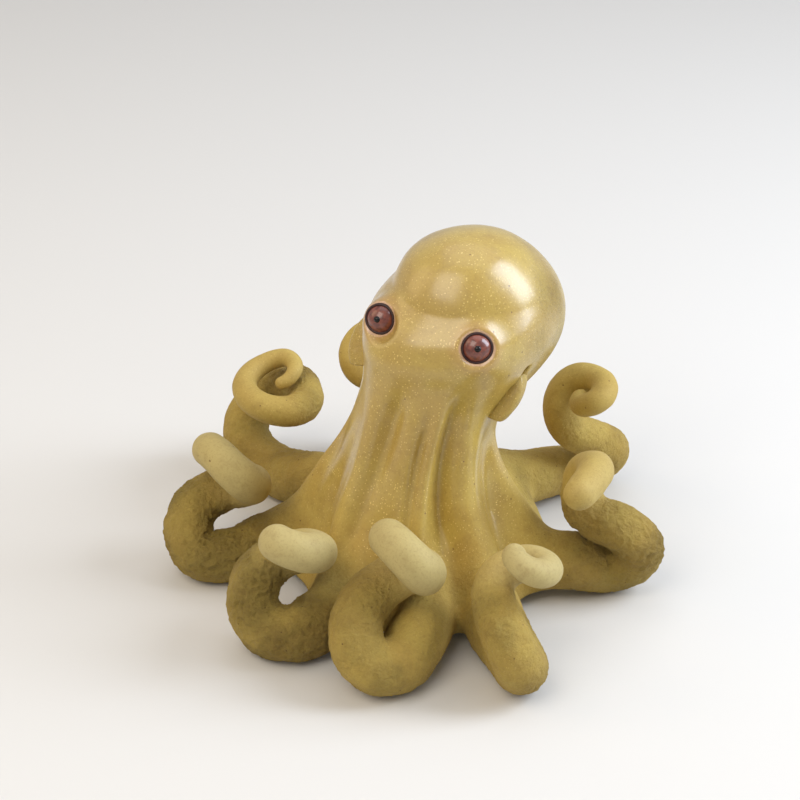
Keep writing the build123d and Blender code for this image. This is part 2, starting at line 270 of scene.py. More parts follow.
def compass(angle, slope=0.0):
    """Unit vector: compass angle from -Y towards +X, tilted up by the slope, in degrees."""
    a, s = np.radians(angle), np.radians(slope)
    return np.stack(np.broadcast_arrays(
        np.sin(a) * np.cos(s), -np.cos(a) * np.cos(s), np.sin(s)), -1)


def turned(vectors, axis, angles):
    """Each vector turned about one unit axis: v cos + (axis x v) sin + axis (axis.v)(1 - cos)."""
    a = np.radians(np.asarray(angles, float))[..., None]
    along = (vectors @ axis)[..., None] * axis
    return vectors * np.cos(a) + np.cross(axis, vectors) * np.sin(a) + along * (1 - np.cos(a))


def ease(value, low, high):
    """Smooth step from 0 at low to 1 at high: t squared times (3 - 2t)."""
    t = np.clip((value - low) / (high - low), 0, 1)
    return t * t * (3 - 2 * t)


def lesser(a, b, reach):
    """The lesser of two distances, rounded where they cross: min(a, b) less a parabola."""
    overlap = np.maximum(reach - np.abs(a - b), 0) / reach
    return np.minimum(a, b) - overlap * overlap * reach / 4


def greater(a, b, reach):
    """The greater of two distances, rounded where they cross."""
    return -lesser(-a, -b, reach)


def dice(cells, salt):
    """A repeatable number from 0 to 1 for each whole-number cell."""
    c = cells.astype(np.int64)
    mixed = c[..., 0] * 73856093 ^ c[..., 1] * 19349663 ^ c[..., 2] * 83492791 ^ salt * 40503
    mixed = (mixed ^ (mixed >> 13)) * 1274126177
    return ((mixed ^ (mixed >> 16)) & 0xFFFFFF) / float(0xFFFFFF)


def drift(points, size, salt):
    """Slow noise from -1 to 1: dice on a lattice of that size, blended with smooth steps."""
    scaled = points / size
    cell = np.floor(scaled)
    part = scaled - cell
    part = part * part * (3 - 2 * part)
    total = 0
    for corner in np.ndindex(2, 2, 2):
        corner = np.array(corner)
        weight = np.prod(np.where(corner, part, 1 - part), -1)
        total = total + weight * dice(cell + corner, salt)
    return 2 * total - 1


# The clay body as one field of distances

def column_row(height):
    """Centre x and y, web radius, lobe radius and squareness of the column at each height.

    A cubic runs through each two rows with the slopes of their neighbours.
    """
    shares, table = COLUMN_ROWS[:, 0], COLUMN_ROWS[:, 1:]
    slopes = np.gradient(table, shares, axis=0)
    share = np.clip(height / COLUMN_HEIGHT, shares[0], shares[-1])
    k = np.clip(np.searchsorted(shares, share) - 1, 0, len(shares) - 2)
    span = shares[k + 1] - shares[k]
    t = ((share - shares[k]) / span)[..., None]
    span = span[..., None]
    values = ((2 * t ** 3 - 3 * t ** 2 + 1) * table[k]
              + (t ** 3 - 2 * t ** 2 + t) * span * slopes[k]
              + (3 * t ** 2 - 2 * t ** 3) * table[k + 1]
              + (t ** 3 - t ** 2) * span * slopes[k + 1])
    lean_x, lean_y, neck, web, lobe, square = np.moveaxis(values, -1, 0)
    neck = neck * NECK_RADIUS
    flare = ARM_REACH - NECK_RADIUS
    return (lean_x * COLUMN_HEIGHT, lean_y * COLUMN_HEIGHT, neck + web * flare,
            neck + lobe * flare, square)


def lobed_radius(bearing, height, web, lobe, square):
    """Radius of the column: a cosine from lobe to web and back between neighbour arms, plus folds.

    A square section is wider by its squareness times sin^2 of twice the angle from the face.
    A fold adds its relief times exp(-(arc / half width)^2) along a slanting line.
    """
    roots = np.sort([arm.root for arm in ARMS.values()]).astype(float)
    edges = np.append(roots - roots[0], 360)
    angle = (bearing - roots[0]) % 360
    k = np.clip(np.searchsorted(edges, angle, side="right") - 1, 0, len(roots) - 1)
    gap = edges[k + 1] - edges[k]
    wave = (1 - np.cos(2 * np.pi * (angle - edges[k]) / gap)) / 2
    radius = lobe - (lobe - web) * np.minimum(1, gap / FULL_WEB_GAP) * wave
    radius = radius * (1 + square * np.sin(np.radians(2 * (bearing - FACE_BEARING))) ** 2)
    for top, top_bearing, foot, foot_bearing, half_width, relief in FOLDS:
        share = np.clip((top - height) / (top - foot), 0, 1)
        line = top_bearing + ((foot_bearing - top_bearing + 180) % 360 - 180) * share
        arc = np.radians((bearing - line + 180) % 360 - 180) * radius
        window = (ease(height, *(foot + fade for fade in FOLD_FOOT_FADE))
                  * (1 - ease(height, *(top + fade for fade in FOLD_TOP_FADE))))
        radius = radius + relief * window * np.exp(-(arc / half_width) ** 2)
    return radius


def egg_field(points, inset):
    """Distance from the mantle's egg: for each half, k0 (k0 - 1) / k1 with k0 the length of the
    point over the half axes and k1 its length over their squares."""
    tail = compass(180 - MANTLE_BEARING, -MANTLE_DROOP)
    offset = points - MANTLE_CENTRE
    along = offset @ tail
    across = np.sqrt(np.maximum((offset ** 2).sum(-1) - along ** 2, 0))
    long_axis = np.where(along < 0, MANTLE_FRONT, MANTLE_BACK) - inset
    radius = MANTLE_RADIUS - inset
    k0 = np.sqrt((along / long_axis) ** 2 + (across / radius) ** 2) + 1e-6
    k1 = np.sqrt((along / long_axis ** 2) ** 2 + (across / radius ** 2) ** 2) + 1e-6
    return k0 * (k0 - 1) / k1


def arm_radius(arm, share):
    """Tube radius: the curve of second degree through root, middle and tip radius."""
    middle, tip = ARM_MIDDLE_RADIUS * arm.middle, ARM_TIP_RADIUS * arm.tip
    return (ARM_ROOT_RADIUS * (1 - share) * (1 - 2 * share)
            + 4 * middle * share * (1 - share) + tip * share * (2 * share - 1))


def arm_start(arm):
    """Joint centre and the unit vectors ahead, left and over of an arm."""
    place = compass(arm.root) * ARM_REACH * arm.reach
    place = place + np.array((0, 0, ARM_ROOT_HEIGHT * arm.height))
    ahead = compass(arm.heading, -arm.dip)
    left = np.cross((0.0, 0.0, 1.0), ahead)
    left = left / np.linalg.norm(left)
    return place, ahead, left, np.cross(ahead, left)


def arm_line(arm, spacing):
    """Centreline of an arm: arcs of equal length, each turned about its own hinge.

    On an arc of length L and turn w, the point at share t is the start plus
    L (sin(wt) / w ahead + (1 - cos(wt)) / w (hinge x ahead)).
    """
    place, ahead, left, over = arm_start(arm)
    length = ARM_LENGTH * arm.length / len(arm.bends)
    steps = int(math.ceil(length / spacing))
    t = np.arange(1, steps + 1) / steps
    places, aheads, lefts = [place[None]], [ahead[None]], [left[None]]
    for curl, side in arm.bends:
        turn = math.radians(math.hypot(curl, side))
        hinge = np.cross(ahead, over) * curl + np.cross(ahead, left) * side
        hinge = hinge / np.linalg.norm(hinge)
        run = np.outer(np.sin(turn * t) / turn, ahead)
        sweep = np.outer((1 - np.cos(turn * t)) / turn, np.cross(hinge, ahead))
        places.append(place + length * (run + sweep))
        aheads.append(turned(np.repeat(ahead[None], steps, 0), hinge, np.degrees(turn) * t))
        lefts.append(turned(np.repeat(left[None], steps, 0), hinge, np.degrees(turn) * t))
        place, ahead, left = places[-1][-1], aheads[-1][-1], lefts[-1][-1]
        over = np.cross(ahead, left)
    places, aheads, lefts = (np.concatenate(rows) for rows in (places, aheads, lefts))
    return places, aheads, lefts, np.linspace(0, 1, len(places))


def root_line(arm):
    """The hidden start of an arm inside its lobe: a cubic from the bell to the joint."""
    place, ahead, _, _ = arm_start(arm)
    start = compass(arm.root) * ROOT_START_REACH + np.array((0, 0, ROOT_START_HEIGHT))
    pull = np.linalg.norm(place - start)
    t = np.linspace(0, 1, 9)[:, None]
    return ((2 * t ** 3 - 3 * t ** 2 + 1) * start
            + (t ** 3 - 2 * t ** 2 + t) * pull * compass(arm.root, ROOT_START_SLOPE)
            + (3 * t ** 2 - 2 * t ** 3) * place + (t ** 3 - t ** 2) * pull * ahead)


def tube_field(points, line, radius, blunt):
    """Distance from a round tube along straight runs between the points of a line.

    A step s past the last point counts as s sqrt(1 + blunt), so a blunt tube ends sooner.
    """
    best = np.full(len(points), 9999.0)
    for a, b in zip(line[:-1], line[1:]):
        run = b - a
        share = np.clip((points - a) @ run / (run @ run), 0, 1)
        gap = points - a - share[:, None] * run
        square = (gap ** 2).sum(-1)
        if np.array_equal(b, line[-1]):
            past = np.maximum(gap @ run, 0)
            square = square + blunt * past ** 2 / (run @ run)
        best = np.minimum(best, square)
    return np.sqrt(best) - radius


def body_field(points, name=None, run=None):
    """Distance from the clay body's skin, below zero in the clay.

    The outside is the rounded least of column, egg, eye mounds and arm starts, the inside that
    of a smaller column and egg. The clay is what the outside holds, less the inside, all that
    lies below the rim, the eyes' dishes and the slits. Each arm starts as a tube in its lobe
    that ends just past the joint, or, for the arm of the given name, follows the given run of
    its centreline.
    """
    x, y, z = points.T
    centre_x, centre_y, web, lobe, square = column_row(z)
    reach = np.sqrt((x - centre_x) ** 2 + (y - centre_y) ** 2)
    bearing = np.degrees(np.arctan2(x - centre_x, centre_y - y))
    outside = reach - lobed_radius(bearing, z, web, lobe, square)
    outside = greater(outside, z - COLUMN_HEIGHT, CROWN_BLEND)
    outside = lesser(outside, egg_field(points, 0), BROW_BLEND)
    for place, direction in EYE_SEATS.values():
        middle = place - direction * EYE_MOUND_DEPTH
        mound = np.sqrt(((points - middle) ** 2).sum(-1)) - EYE_MOUND_RADIUS
        outside = lesser(outside, mound, EYE_MOUND_BLEND)
    for other, line in ROOT_LINES.items():
        blunt = ROOT_BLUNT
        if other == name:
            line, blunt = np.concatenate((line, run)), 0.0
        middle = (line[0] + line[-1]) / 2
        near = ((points - middle) ** 2).sum(-1) < ROOT_NEAR ** 2
        tube = tube_field(points[near], line, ARM_ROOT_RADIUS, blunt)
        outside[near] = lesser(outside[near], tube, ROOT_BLEND)
    inside = greater(reach - web + WALL, z - HOLLOW_TOP, HOLLOW_BLEND)
    inside = lesser(inside, egg_field(points, WALL), HOLLOW_BLEND)
    skin = greater(outside, -inside, RIM_ROUND)
    skin = greater(skin, RIM_HEIGHT - z, RIM_ROUND)
    for place, direction in EYE_SEATS.values():
        offset = points - place
        out = offset @ direction
        around = np.sqrt(np.maximum((offset ** 2).sum(-1) - out ** 2, 0))
        dish = np.hypot(around, out - EYE_DISH_OUT) - EYE_DISH_RADIUS
        skin = greater(skin, -dish, EYE_DISH_ROUND)
    for place in SLIT_PLACES:
        hollow = np.sqrt((((points - place) / SLIT_HALF_SIZES) ** 2).sum(-1)) - 1
        skin = greater(skin, -hollow, SLIT_ROUND)
    for size, height, salt in SKIN_SWELLS:
        skin = skin + height * drift(points, size, salt)
    return skin


def field_slope(points, *arm_run, step=0.05):
    """Slope of the body's field by central differences along x, y and z."""
    rows = []
    for axis in np.eye(3) * step:
        rise = body_field(points + axis, *arm_run) - body_field(points - axis, *arm_run)
        rows.append(rise / (2 * step))
    return np.stack(rows, -1)


def net_of_field(low, high, step):
    """Closed quad mesh of the body's skin, on a lattice of cubes.

    A cube that the skin crosses has one vertex, the mean of the crossings of its edges. A
    lattice edge that crosses the skin has one quad, between the four cubes around it. The field
    is read one layer of the lattice at a time, to spare memory.
    """
    axes = [np.arange(a, b, step) for a, b in zip(low, high)]
    shape = tuple(len(axis) for axis in axes)
    values = np.empty(shape)
    for k, x in enumerate(axes[0]):
        layer = np.stack(np.meshgrid([x], axes[1], axes[2], indexing="ij"), -1)
        values[k] = body_field(layer.reshape(-1, 3)).reshape(shape[1:])
    solid = values < 0
    corners = [tuple(slice(c, n - 1 + c) for c, n in zip(corner, shape))
               for corner in np.ndindex(2, 2, 2)]
    count = sum(solid[corner].astype(np.int8) for corner in corners)
    cubes = np.argwhere((count > 0) & (count < 8))
    number = np.full(tuple(n - 1 for n in shape), -1)
    number[tuple(cubes.T)] = np.arange(len(cubes))
    total, hits = np.zeros((len(cubes), 3)), np.zeros(len(cubes))
    for axis in range(3):
        ahead = np.eye(3, dtype=int)[axis]
        for offset in np.ndindex(2, 2):
            start = cubes + np.insert(offset, axis, 0)
            first, second = values[tuple(start.T)], values[tuple((start + ahead).T)]
            crossed = (first < 0) != (second < 0)
            share = np.where(crossed, first / np.where(crossed, first - second, 1), 0)
            total += np.where(crossed[:, None], start + share[:, None] * ahead, 0)
            hits += crossed
    places = np.array(low) + step * total / hits[:, None]
    quads = []
    for axis in range(3):
        ahead = np.eye(3, dtype=int)[axis]
        side, up = np.eye(3, dtype=int)[(axis + 1) % 3], np.eye(3, dtype=int)[(axis + 2) % 3]
        inner = tuple(slice(0, n - 1) if k == axis else slice(1, n - 1)
                      for k, n in enumerate(shape))
        first = solid[inner]
        second = solid[tuple(slice(s.start + a, s.stop + a) for s, a in zip(inner, ahead))]
        for leaving in (True, False):
            edges = np.argwhere((first & ~second) if leaving else (~first & second))
            edges = edges + np.array([s.start for s in inner])
            ring = [number[tuple((edges - a).T)] for a in (side + up, up, 0 * up, side)]
            quads.append(np.stack(ring if leaving else ring[::-1], -1))
    return places, np.concatenate(quads)


def settled(places, quads, rounds):
    """Net vertices evened out and laid on the skin: each moves halfway to the mean of its
    neighbours, then down the field's slope by the field over the slope squared."""
    pairs = np.concatenate([quads[:, [a, (a + 1) % 4]] for a in range(4)])
    pairs = np.concatenate((pairs, pairs[:, ::-1]))
    for turn in range(rounds):
        if turn:
            sums = np.stack([np.bincount(pairs[:, 0], places[pairs[:, 1], k], len(places))
                             for k in range(3)], -1)
            means = sums / np.bincount(pairs[:, 0], minlength=len(places))[:, None]
            places = (places + means) / 2
        slope = field_slope(places)
        share = body_field(places) / np.maximum((slope ** 2).sum(-1), 0.05)
        places = places - slope * np.clip(share, -0.5, 0.5)[:, None]
    return places


# Meshes and objects

def shift_to_frame():
    """Shift from the figurine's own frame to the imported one, across the table: the median over
    the arms of the difference between the middles of an arm's CAD box and of its tube."""
    shifts = []
    for name, arm in ARMS.items():
        places, aheads, _, shares = arm_line(arm, 0.5)
        spread = arm_radius(arm, shares)[:, None] * np.sqrt(1 - np.minimum(aheads ** 2, 1))
        ends = places[-1] + arm_radius(arm, 1.0) * np.array((-1, 1))[:, None]
        low = np.minimum((places - spread).min(0), ends[0])
        high = np.maximum((places + spread).max(0), ends[1])
        box_low, box_high = (np.array(corner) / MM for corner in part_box(name))
        shifts.append(((box_low + box_high) - (low + high)) / 2)
    shift = np.median(shifts, axis=0)
    shift[2] = 0
    return shift


def seat_of_eye(name, side):
    """Point on the head's surface and outward direction of an eye, from its CAD pupil."""
    low, high = (np.array(corner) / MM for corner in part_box("pupil_" + name))
    direction = compass(EYE_FACING + side * EYE_SPREAD, EYE_LIFT)
    return (low + high) / 2 - SHIFT - direction * PUPIL_OUT, direction


SHIFT = shift_to_frame()
EYE_SEATS = {"left": seat_of_eye("left", 1), "right": seat_of_eye("right", -1)}
ROOT_LINES = {name: root_line(arm) for name, arm in ARMS.items()}


def numbers(items, key, width=1, kind=float):
    """One property of all of a mesh's items, as an array."""
    values = np.zeros(len(items) * width, kind)
    items.foreach_get(key, values)
    return values.reshape(-1, width) if width > 1 else values


def linked_piece(name, mesh):
    """A mesh as a piece of the figurine, which is one rigid body."""
    piece = bpy.data.objects.new(name, mesh)
    bpy.context.scene.collection.objects.link(piece)
    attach(piece, "root")
    return piece


def new_piece(name, places, faces):
    """A smooth piece in the frame: vertices in millimetres, faces as lists of vertex numbers."""
    mesh = bpy.data.meshes.new(name)
    mesh.from_pydata(((places + SHIFT) * MM).tolist(), [], faces)
    mesh.update()
    mesh.polygons.foreach_set("use_smooth", np.ones(len(mesh.polygons), bool))
    return linked_piece(name, mesh)


def face_outwards(mesh):
    """Turns the faces of a closed mesh outwards."""
    shell = bmesh.new()
    shell.from_mesh(mesh)
    bmesh.ops.recalc_face_normals(shell, faces=shell.faces)
    shell.to_mesh(mesh)
    shell.free()


def paint(piece, name, values):
    """A number for each vertex that the materials read."""
    mask = piece.data.attributes.new(name, "FLOAT", "POINT")
    mask.data.foreach_set("value", values.astype(np.float32))


def carried(rings, looped=False):
    """Vertices and faces of a row of rings: quads between neighbours, and a fan about the middle
    of the first and the last ring. Looped, the last ring joins the first instead."""
    rows, across = rings.shape[:2]
    i, j = np.meshgrid(np.arange(rows if looped else rows - 1), np.arange(across), indexing="ij")
    n, k = (i + 1) % rows, (j + 1) % across
    quads = np.stack((i * across + j, i * across + k, n * across + k, n * across + j), -1)
    places, faces = rings.reshape(-1, 3), quads.reshape(-1, 4).tolist()
    if looped:
        return places, faces
    a = np.arange(across)
    b = (a + 1) % across
    last, pole = (rows - 1) * across, np.full(across, rows * across)
    faces += np.stack((b, a, pole), -1).tolist()
    faces += np.stack((last + a, last + b, pole + 1), -1).tolist()
    return np.concatenate((places, [rings[0].mean(0), rings[-1].mean(0)])), faces


def cut_body(name, places, quads, keep_tail):
    """One side of the clay body, parted at the flat seam, with a flat cap over the cut."""
    data = bpy.data.meshes.new(name)
    data.from_pydata(places.tolist(), [], quads.tolist())
    mesh = bmesh.new()
    mesh.from_mesh(data)
    normal = compass(180 - SEAM_BEARING, SEAM_LEAN)
    place = MANTLE_CENTRE - normal * SEAM_OFFSET
    normal = normal * (-1 if keep_tail else 1)
    part = [*mesh.faces, *mesh.edges, *mesh.verts]
    cut = bmesh.ops.bisect_plane(mesh, geom=part, dist=1e-5, plane_co=place.tolist(),
                                 plane_no=normal.tolist(), clear_outer=True)
    rim = [item for item in cut["geom_cut"] if isinstance(item, bmesh.types.BMEdge)]
    bmesh.ops.triangle_fill(mesh, use_beauty=True, use_dissolve=False, edges=rim,
                            normal=normal.tolist())
    bmesh.ops.recalc_face_normals(mesh, faces=mesh.faces)
    mesh.to_mesh(data)
    mesh.free()
    return data


def skin_corners(data, points):
    """Normals at the corners of a part of the body: the slope of its field, and on the flat cap,
    where the two part by more than some 50 degrees, the face's own."""
    slope = field_slope(points)
    slope /= np.linalg.norm(slope, axis=1)[:, None]
    faces = np.repeat(numbers(data.polygons, "normal", 3),
                      numbers(data.polygons, "loop_total", kind=np.int32), 0)
    normals = slope[numbers(data.loops, "vertex_index", kind=np.int32)]
    flat = (normals * faces).sum(-1) < 0.6
    normals[flat] = faces[flat]
    return normals


def skin_masks(places):
    """How torn and how polished the body's clay is at each point: torn towards the lobes' feet,
    polished on head and neck."""
    reach = np.hypot(places[:, 0], places[:, 1])
    rough = ease(reach, *LOBE_TORN_REACH) * LOBE_TORN * (0.6 + 0.4 * drift(places, 5.0, 11))
    plain = (1 - ease(places[:, 2], *PLAIN_HEIGHT)) * ease(reach, *PLAIN_REACH)
    return np.clip(rough, 0, 1), 1 - (1 - PLAIN_POLISH) * plain


# Materials

def linear(hex_colour):
    """An sRGB hex colour as linear numbers with full alpha."""
    values = [int(hex_colour[k:k + 2], 16) / 255 for k in (0, 2, 4)]
    return [v / 12.92 if v <= 0.04045 else ((v + 0.055) / 1.055) ** 2.4 for v in values] + [1.0]


def add_node(tree, kind, inputs=None, output=0, **settings):
    """One shader node, fed with plain values or sockets by its inputs: gives its output."""
    node = tree.nodes.new("ShaderNode" + kind)
    for key, value in settings.items():
        setattr(node, key, value)
    for key, value in (inputs or {}).items():
        if isinstance(value, bpy.types.NodeSocket):
            tree.links.new(value, node.inputs[key])
        else:
            node.inputs[key].default_value = value
    return node.outputs[output] if node.outputs else None


def new_material(name):
    """A material with no nodes yet, and the call that adds one to it."""
    material = bpy.data.materials.new(name)
    material.use_nodes = True
    material.node_tree.nodes.clear()
    return material, functools.partial(add_node, material.node_tree)


def stoneware_material(clay):
    """Unglazed yellow stoneware, burnished while leather-hard and fired: satin, full of golden
    mica, with pinholes and iron specks, and torn to matt crumbs where the arms were pinched.

    A colour lies over the one before by its share, a smooth step between two values of a pattern.
    Mica and crumbs are drawn somewhat larger than real ones, to show in the picture. The pits
    between the crumbs are darkened with painted shade.
    """
    material, node = new_material("burnished_stoneware")
    spot = node("TexCoord", output="Object")
    rough, pale, polish = (node("Attribute", output="Fac", attribute_name=name)
                           for name in ("rough", "pale", "polish"))
    # Noises, by size in millimetres, detail and roughness: clouds of the fire, drifts of mica,
    # blotches, ragged edge of the wash, fine mottle, grit, and crumbs of torn clay.
    clouds, drifts, blotches, ragged, fine, grit, crumbs = (
        node("TexNoise", {"Vector": spot, "Scale": 1 / (size * MM), "Detail": detail,
                          "Roughness": roughness})
        for size, detail, roughness in (
            (11.0, 3.0, 0.5), (7.0, 2.0, 0.5), (2.6, 4.0, 0.6), (1.2, 2.0, 0.5),
            (0.45, 4.0, 0.6), (0.35, 3.0, 0.5), (0.7 * clay.grain_size / MM, 6.0, 0.72)))
    pinholes = node("TexVoronoi", {"Vector": spot, "Scale": 1 / (3.1 * MM)}, output="Distance")
    shine = node("Math", {0: polish, 1: rough}, operation="SUBTRACT", use_clamp=True)
    # Smooth steps from a lower to an upper value of a pattern, and what they give there.
    # Where the crumbs are low, the step gives painted shade that darkens the pits of the torn
    # clay.
    warm, blotch, mottle, pit_shade_step, drifted, rubbed, speck, gloss, coat = (
        node("MapRange", {0: pattern, 1: lower, 2: upper, 3: first, 4: last},
             interpolation_type="SMOOTHSTEP")
        for pattern, lower, upper, first, last in (
            (clouds, 0.35, 0.65, 0.0, 1.0), (blotches, 0.48, 0.70, 0.0, 0.16),
            (fine, 0.45, 0.75, 0.0, 0.22), (crumbs, 0.52, 0.36, 0.0, 0.25),
            (drifts, 0.30, 0.60, 0.25, 1.0), (polish, 0.15, 0.60, 0.3, 1.0),
            (pinholes, 0.07, 0.045, 0.0, 0.7), (shine, 0.0, 1.0, 0.72, clay.gloss),
            (shine, 0.4, 1.0, 0.0, 0.9)))
    # Wash of the eyes' red clay around each dark ring, with a wiped pale edge.
    washes = []
    for place, _ in EYE_SEATS.values():
        away = node("VectorMath", {0: spot, 1: ((place + SHIFT) * MM).tolist()},
                    output="Value", operation="DISTANCE")
        away = node("Math", {0: ragged, 1: 0.8 * MM, 2: away}, operation="MULTIPLY_ADD")
        for far, near, strength, hex_colour in ((6.5, 3.2, 0.30, clay.flush_colour),
                                                (3.9, 3.6, 0.55, clay.edge_colour)):
            share = node("MapRange", {0: away, 1: far * MM, 2: near * MM, 4: strength},
                         interpolation_type="SMOOTHSTEP")
            washes.append((share, hex_colour))
    # Mica: fine flakes in dense drifts and larger ones here and there, rubbed free where the
    # clay is polished. A cell's flake is a dot about its point, if the cell's number is drawn.
    mica = 0.0
    for gap, far, near, low, high in ((clay.fleck_gap, 0.28, 0.17, 0.30, 0.55),
                                      (clay.fleck_gap * 2.4, 0.14, 0.09, 0.50, 0.60)):
        cells = {"Vector": spot, "Scale": 1 / gap}
        away = node("TexVoronoi", cells, output="Distance")
        number = node("SeparateColor", {0: node("TexVoronoi", cells, output="Color")})
        dot, drawn = (node("MapRange", {0: pattern, 1: lower, 2: upper},
                           interpolation_type="SMOOTHSTEP")
                      for pattern, lower, upper in ((away, far, near), (number, low, high)))
        flake = node("Math", {0: dot, 1: drawn}, operation="MULTIPLY")
        mica = node("Math", {0: mica, 1: flake}, operation="MAXIMUM")
    covered = node("Math", {0: pale, 1: 0.7}, operation="MULTIPLY")
    covered = node("Math", {0: covered, 1: rough}, operation="MAXIMUM")
    bare = node("Math", {0: 1.0, 1: covered}, operation="SUBTRACT", use_clamp=True)
    for mask in (bare, drifted, rubbed):
        mica = node("Math", {0: mica, 1: mask}, operation="MULTIPLY")
    # Colours, one over the other: tips, washes, mottle, painted shade in the pits of the torn
    # clay, mica and specks.
    tips, pit_shade, glitter, torn_height = (
        node("Math", {0: a, 1: b}, operation="MULTIPLY")
        for a, b in ((pale, 0.9), (pit_shade_step, rough), (mica, 0.7), (crumbs, rough)))
    colour = linear(clay.body_colour)
    for share, hex_colour in (
            (warm, clay.warm_colour), (tips, clay.tip_colour), *washes,
            (mottle, clay.mottle_and_pit_shade_colour), (blotch, clay.mottle_and_pit_shade_colour), (pit_shade, clay.mottle_and_pit_shade_colour),
            (glitter, clay.fleck_colour), (speck, clay.iron_colour)):
        colour = node("Mix", {0: share, 6: colour, 7: linear(hex_colour)}, output=2,
                      data_type="RGBA")
    height = 0.0
    for pattern, millimetres in ((grit, 0.035), (speck, -0.06), (torn_height, 2.6)):
        height = node("Math", {0: pattern, 1: millimetres, 2: height},
                      operation="MULTIPLY_ADD")
    bump = node("Bump", {"Strength": 1.0, "Distance": MM, "Height": height})
    for pattern, weight in ((fine, 0.08), (mica, -0.15)):
        gloss = node("Math", {0: pattern, 1: weight, 2: gloss}, operation="MULTIPLY_ADD")
    shader = node("BsdfPrincipled", {
        "Base Color": colour, "Roughness": gloss, "Normal": bump, "IOR": 1.5,
        "Coat Weight": coat, "Coat Roughness": 0.24})
    node("OutputMaterial", {"Surface": shader})
    return material


def eye_material(eyes):
    """Red-brown slip, burnished and waxed over fired clay: a clear gloss on a mottled ground."""
    material, node = new_material("waxed_red_clay")
    mottle = node("TexNoise", {"Vector": node("TexCoord", output="Object"),
                               "Scale": 1 / (0.9 * MM), "Detail": 4.0})
    mottle = node("MapRange", {0: mottle, 1: 0.35, 2: 0.65}, interpolation_type="SMOOTHSTEP")
    colour = node("Mix", {0: mottle, 6: linear(eyes.ball_colour),
                          7: linear(eyes.ball_dark_colour)}, output=2, data_type="RGBA")
    shader = node("BsdfPrincipled", {"Base Color": colour, "Roughness": 0.33,
                                     "Coat Weight": 0.7, "Coat Roughness": 0.10})
    node("OutputMaterial", {"Surface": shader})
    return material


def ring_material(eyes):
    """Near-black ring laid round the eye ball, in the gap between ball and socket, left matt."""
    material, node = new_material("dark_eye_ring")
    mottle = node("TexNoise", {"Vector": node("TexCoord", output="Object"),
                               "Scale": 1 / (0.4 * MM), "Detail": 3.0})
    colour = node("Mix", {0: mottle, 6: linear(eyes.ring_colour),
                          7: linear(eyes.ring_light_colour)}, output=2, data_type="RGBA")
    shader = node("BsdfPrincipled", {"Base Color": colour, "Roughness": 0.5})
    node("OutputMaterial", {"Surface": shader})
    return material


def pupil_material(eyes):
    """Black glaze bead: dark and mirror-smooth, with a sharp highlight."""
    material, node = new_material("black_glaze")
    mottle = node("TexNoise", {"Vector": node("TexCoord", output="Object"),
                               "Scale": 1 / (0.3 * MM), "Detail": 2.0})
    colour = node("Mix", {0: mottle, 6: linear(eyes.pupil_colour),
                          7: linear(eyes.pupil_light_colour)}, output=2, data_type="RGBA")
    shader = node("BsdfPrincipled", {"Base Color": colour, "Roughness": 0.06, "IOR": 1.38})
    node("OutputMaterial", {"Surface": shader})
    return material


def material_named(name, maker, settings):
    """The material of that name, made when first asked for."""
    return bpy.data.materials.get(name) or maker(settings)


# Settings, operators and panel

class OctopusClay(bpy.types.PropertyGroup):
    """Sizes and colours of the clay."""

    body_colour: bpy.props.StringProperty(
        name="Body", description="sRGB hex colour of the fired clay", default="B99E4B")
    warm_colour: bpy.props.StringProperty(
        name="Warm clouds", description="sRGB hex colour of the warmer clouds", default="B19343")
    # Colour of the fine mottle and blotches, and also of the painted shade in the pits of the torn
    # clay.
    mottle_and_pit_shade_colour: bpy.props.StringProperty(
        name="Mottle and pit shade", description="sRGB hex colour in pits and fine mottle", default="755422")
    tip_colour: bpy.props.StringProperty(
        name="Tips", description="sRGB hex colour of the rubbed arm tips", default="B6A670")
    flush_colour: bpy.props.StringProperty(
        name="Wash", description="sRGB hex colour of the wash around the eyes", default="BC8466")
    edge_colour: bpy.props.StringProperty(
        name="Wiped edge", description="sRGB hex colour of the edge around the rings",
        default="E2B8A0")
    fleck_colour: bpy.props.StringProperty(
        name="Mica", description="sRGB hex colour of the mica flecks", default="F0D683")
    iron_colour: bpy.props.StringProperty(
        name="Iron specks", description="sRGB hex colour of pinholes and iron specks",
        default="6B4A22")
    grain_size: bpy.props.FloatProperty(
        name="Crumbs", description="Size of the crumbs on the torn arms", default=1.3 * MM,
        min=0.3 * MM, max=3 * MM, precision=5, unit="LENGTH")
    grain_height: bpy.props.FloatProperty(
        name="Crumb height", description="How far the crumbs stand out", default=0.7 * MM,
        min=0.0, max=2 * MM, precision=5, unit="LENGTH")
    fleck_gap: bpy.props.FloatProperty(
        name="Fleck gap", description="Mean distance between places for mica flecks",
        default=0.52 * MM, min=0.3 * MM, max=6 * MM, precision=5, unit="LENGTH")
    gloss: bpy.props.FloatProperty(
        name="Burnish", description="Roughness of the burnished clay", default=0.34, min=0.1,
        max=0.9)
    net_step: bpy.props.FloatProperty(
        name="Net step", description="Spacing of the body's mesh", default=0.55 * MM,
        min=0.3 * MM, max=2 * MM, precision=5, unit="LENGTH")


class OctopusEyes(bpy.types.PropertyGroup):
    """Colours of the eyes."""

    ball_colour: bpy.props.StringProperty(
        name="Ball", description="sRGB hex colour of the eyeball", default="80402F")
    ball_dark_colour: bpy.props.StringProperty(
        name="Ball, dark", description="sRGB hex colour of its mottle", default="5C261A")
    ring_colour: bpy.props.StringProperty(
        name="Ring", description="sRGB hex colour of the drawn ring", default="1E0A08")
    ring_light_colour: bpy.props.StringProperty(
        name="Ring, worn", description="sRGB hex colour where the ring is thin", default="3A1510")
    pupil_colour: bpy.props.StringProperty(
        name="Pupil", description="sRGB hex colour of the pupil", default="050505")
    pupil_light_colour: bpy.props.StringProperty(
        name="Pupil, light", description="sRGB hex colour of its mottle", default="171314")


